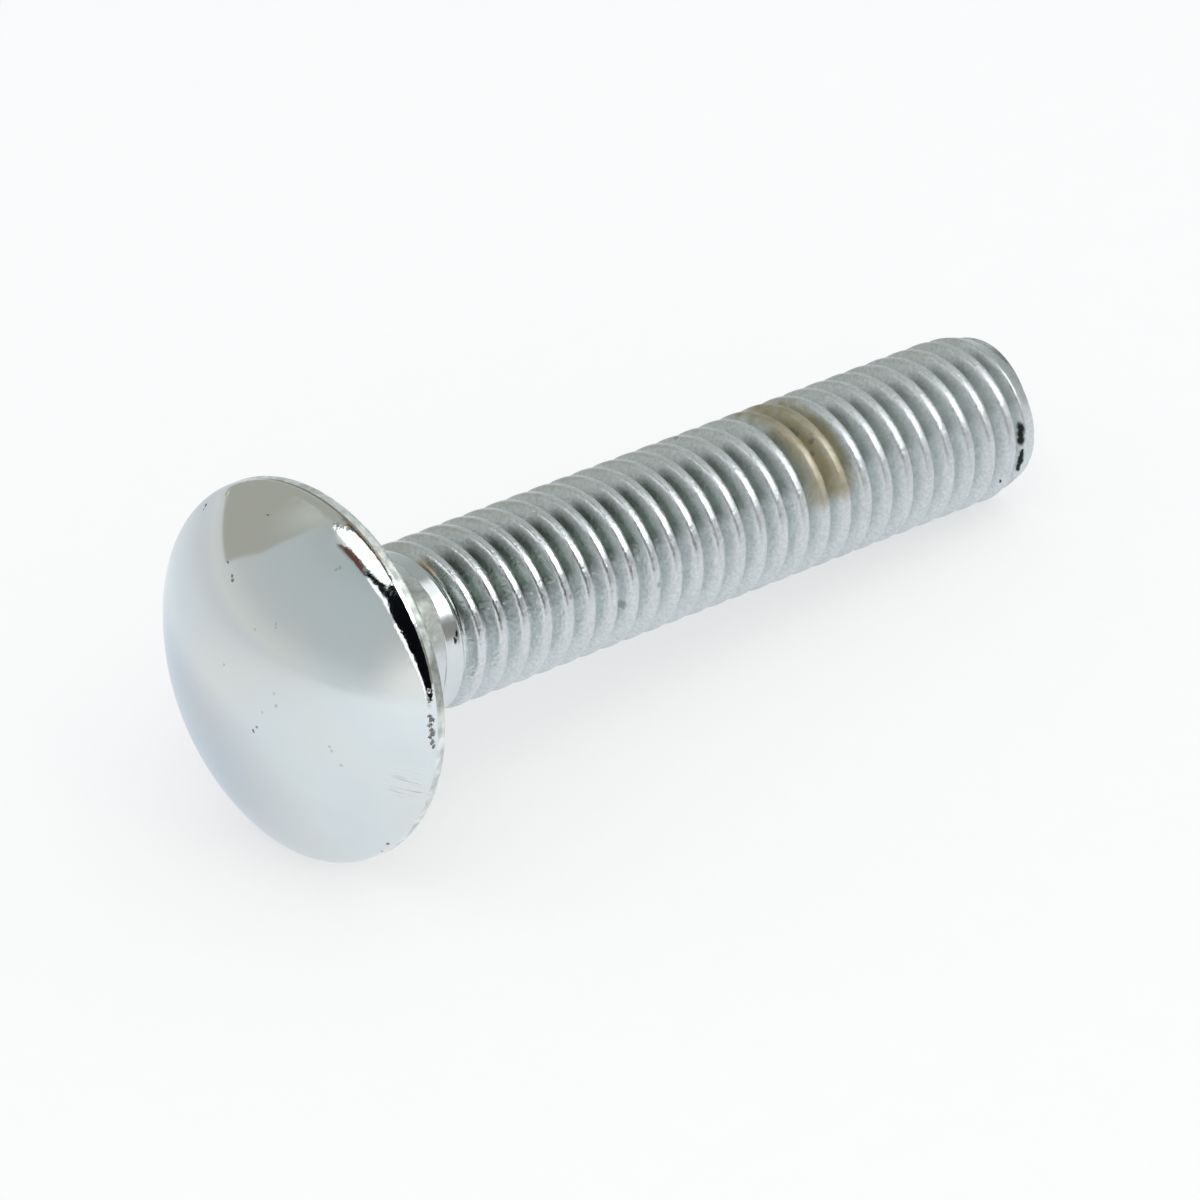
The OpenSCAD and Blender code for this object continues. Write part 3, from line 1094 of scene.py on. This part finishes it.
def make_floor():
    """Matt white paper round the bolt: even and soft to the eye, and greyer in far reflections."""
    mesh = bpy.data.meshes.new("floor")
    half = PAPER_HALF
    corners = [(-half, -half, 0), (half, -half, 0), (half, half, 0), (-half, half, 0)]
    mesh.from_pydata(corners, [], [(0, 1, 2, 3)])
    material, tree = new_material("matt_white_paper")
    at = put(tree, "ShaderNodeTexCoord", out="Object")
    fibre = put(tree, NOISE, {
        "Vector": at, "Scale": 1 / (FIBRE_SIZE * MM), "Detail": 3.0,
    }, out="Fac")
    white = put(tree, MIX, {
        "Factor": fibre,
        "A": linear("#FCFCFC"),
        "B": linear("#FFFFFF"),
    }, out=2, data_type="RGBA")

    # Near the bolt, reflections see painted light on it, brighter towards the lamp, and a bluer
    # painted shadow of the head
    away = put(tree, VECTOR_MATH, {0: at}, out="Value", operation="LENGTH")
    back = put(tree, "ShaderNodeSeparateXYZ", {"Vector": at}, out="Y")
    behind = put(tree, MAP_RANGE, {
        "Value": back, "From Min": BRIGHT_UP_TO, "From Max": GREY_FROM,
    }, interpolation_type="SMOOTHSTEP")
    glow = put(tree, MIX, {
        "Factor": behind,
        "A": bright("#FAFCFD", 1.17),
        "B": linear("#D8DEE4"),
    }, out=2, data_type="RGBA")
    to_head = put(tree, VECTOR_MATH, {0: at, 1: HEAD_SHADE}, out="Value", operation="DISTANCE")
    shaded = put(tree, MAP_RANGE, {
        "Value": to_head, "From Min": HEAD_SHADE_END, "From Max": HEAD_SHADE_FULL,
    }, interpolation_type="SMOOTHSTEP")
    glow = put(tree, MIX, {
        "Factor": shaded,
        "A": glow,
        "B": linear("#D6DFEA"),
    }, out=2, data_type="RGBA")

    # Far off it meets the lowest shade of the tent, and a corner of painted light on the lamp's
    # side
    side = put(tree, MATH, {0: back, 1: away}, operation="DIVIDE")
    corner = put(tree, MAP_RANGE, {
        "Value": side, "From Min": CORNER_FROM, "From Max": CORNER_FULL,
    }, interpolation_type="SMOOTHSTEP")
    horizon = put(tree, MIX, {
        "Factor": corner,
        "A": linear(TENT_SHADES[0][1]),
        "B": bright("#FFFFFF", 1.06),
    }, out=2, data_type="RGBA")
    far = put(tree, MAP_RANGE, {
        "Value": away, "From Min": PAPER_NEAR, "From Max": PAPER_END,
    }, interpolation_type="SMOOTHSTEP")
    glow = put(tree, MIX, {
        "Factor": far,
        "A": glow,
        "B": horizon,
    }, out=2, data_type="RGBA")
    lit = put(tree, "ShaderNodeEmission", {"Color": glow, "Strength": 1.0})
    plain = put(tree, "ShaderNodeEmission", {"Color": linear("#FFFFFF"), "Strength": 1.0})
    paper = put(tree, "ShaderNodeBsdfDiffuse", {"Color": white})
    path = put(tree, "ShaderNodeLightPath").node.outputs
    even = put(tree, MAP_RANGE, {"Value": far, "To Min": PAPER_GLOW, "To Max": 1.0})
    even = put(tree, MATH, {0: even, 1: path["Is Glossy Ray"]}, operation="MULTIPLY")
    shader = put(tree, "ShaderNodeMixShader", {0: even, 1: paper, 2: lit})
    whiter = put(tree, MATH, {0: path["Is Camera Ray"], 1: PAPER_WHITE}, operation="MULTIPLY")
    shader = put(tree, "ShaderNodeMixShader", {0: whiter, 1: shader, 2: plain})
    put(tree, "ShaderNodeOutputMaterial", {"Surface": shader})
    mesh.materials.append(material)
    floor = bpy.data.objects.new("floor", mesh)
    bpy.context.scene.collection.objects.link(floor)


def inside_card(tree, along, corners, soft):
    """1 in the directions that a card fills and 0 past its edges, over a soft border.

    The corners are azimuth and elevation in degrees, and the card is on the left of each edge.
    """
    inside = None
    for first, second in zip(corners, corners[1:] + corners[:1]):
        edge = towards(*first).cross(towards(*second)).normalized()
        past = put(tree, VECTOR_MATH, {0: along, 1: edge}, out="Value", operation="DOT_PRODUCT")
        within = put(tree, MAP_RANGE, {
            "Value": past, "From Min": -soft, "From Max": soft,
        }, interpolation_type="SMOOTHSTEP")
        if inside is None:
            inside = within
        else:
            inside = put(tree, MATH, {0: inside, 1: within}, operation="MULTIPLY")
    return inside


def make_tent():
    """A light tent round the bolt, which only reflections see: a soft gradient and some cards."""
    skin = bmesh.new()
    bmesh.ops.create_uvsphere(skin, u_segments=96, v_segments=48, radius=TENT_R)
    mesh = bpy.data.meshes.new("light_tent")
    skin.to_mesh(mesh)
    skin.free()
    material, tree = new_material("light_tent")
    at = put(tree, "ShaderNodeTexCoord", out="Object")
    along = put(tree, VECTOR_MATH, {0: at}, operation="NORMALIZE")
    rise = put(tree, "ShaderNodeSeparateXYZ", {"Vector": along}, out="Z")
    shade = put(tree, "ShaderNodeValToRGB", {"Fac": rise})
    ramp = shade.node.color_ramp
    ramp.interpolation = "B_SPLINE"
    for height, colour in TENT_SHADES:
        stop = ramp.elements.new(height)
        stop.color = linear(colour)
    ramp.elements.remove(ramp.elements[0])
    ramp.elements.remove(ramp.elements[-1])
    for corners, colour, strength, soft in CARDS.values():
        shade = put(tree, MIX, {
            "Factor": inside_card(tree, along, corners, soft),
            "A": shade,
            "B": bright(colour, strength),
        }, out=2, data_type="RGBA")
    shader = put(tree, "ShaderNodeEmission", {"Color": shade, "Strength": 1.0})
    put(tree, "ShaderNodeOutputMaterial", {"Surface": shader})
    mesh.materials.append(material)
    tent = bpy.data.objects.new("light_tent", mesh)
    bpy.context.scene.collection.objects.link(tent)
    tent.visible_camera = False
    tent.visible_diffuse = False
    tent.visible_shadow = False
    tent.visible_transmission = False


def make_lamp(name, azimuth, elevation, distance, width, height, power):
    """A warm rectangular lamp that faces the bolt from a direction and a distance in metres."""
    data = bpy.data.lights.new(name, "AREA")
    data.shape = "RECTANGLE"
    data.size = width
    data.size_y = height
    data.energy = power
    data.color = linear("#FFF7E7")[:3]
    lamp = bpy.data.objects.new(name, data)
    bpy.context.scene.collection.objects.link(lamp)
    direction = towards(azimuth, elevation)
    lamp.matrix_world = Matrix.LocRotScale(direction * distance, facing(direction), None)
    return lamp


def make_world():
    """Even light from all round; the camera and reflections see plain white instead."""
    world = bpy.data.worlds.new("studio")
    world.use_nodes = True
    bpy.context.scene.world = world
    tree = world.node_tree
    tree.nodes.clear()
    path = put(tree, "ShaderNodeLightPath").node.outputs
    seen = put(tree, MATH, {0: path["Is Camera Ray"], 1: path["Is Glossy Ray"]},
               operation="MAXIMUM")
    seen = put(tree, MATH, {0: seen, 1: path["Is Transmission Ray"]}, operation="MAXIMUM")
    ambient = put(tree, "ShaderNodeBackground", {"Color": linear("#F7FAFF"), "Strength": AMBIENT})
    white = put(tree, "ShaderNodeBackground", {"Color": linear("#FFFFFF"), "Strength": 1.0})
    mixed = put(tree, "ShaderNodeMixShader", {0: seen, 1: ambient, 2: white})
    put(tree, "ShaderNodeOutputWorld", {"Surface": mixed})


make_floor()
make_world()
make_tent()
softbox = make_lamp("softbox", azimuth=-110, elevation=62, distance=0.6, width=0.6, height=0.6,
                    power=0.85)
softbox.visible_glossy = False

scene = bpy.context.scene
scene.view_settings.view_transform = "Standard"
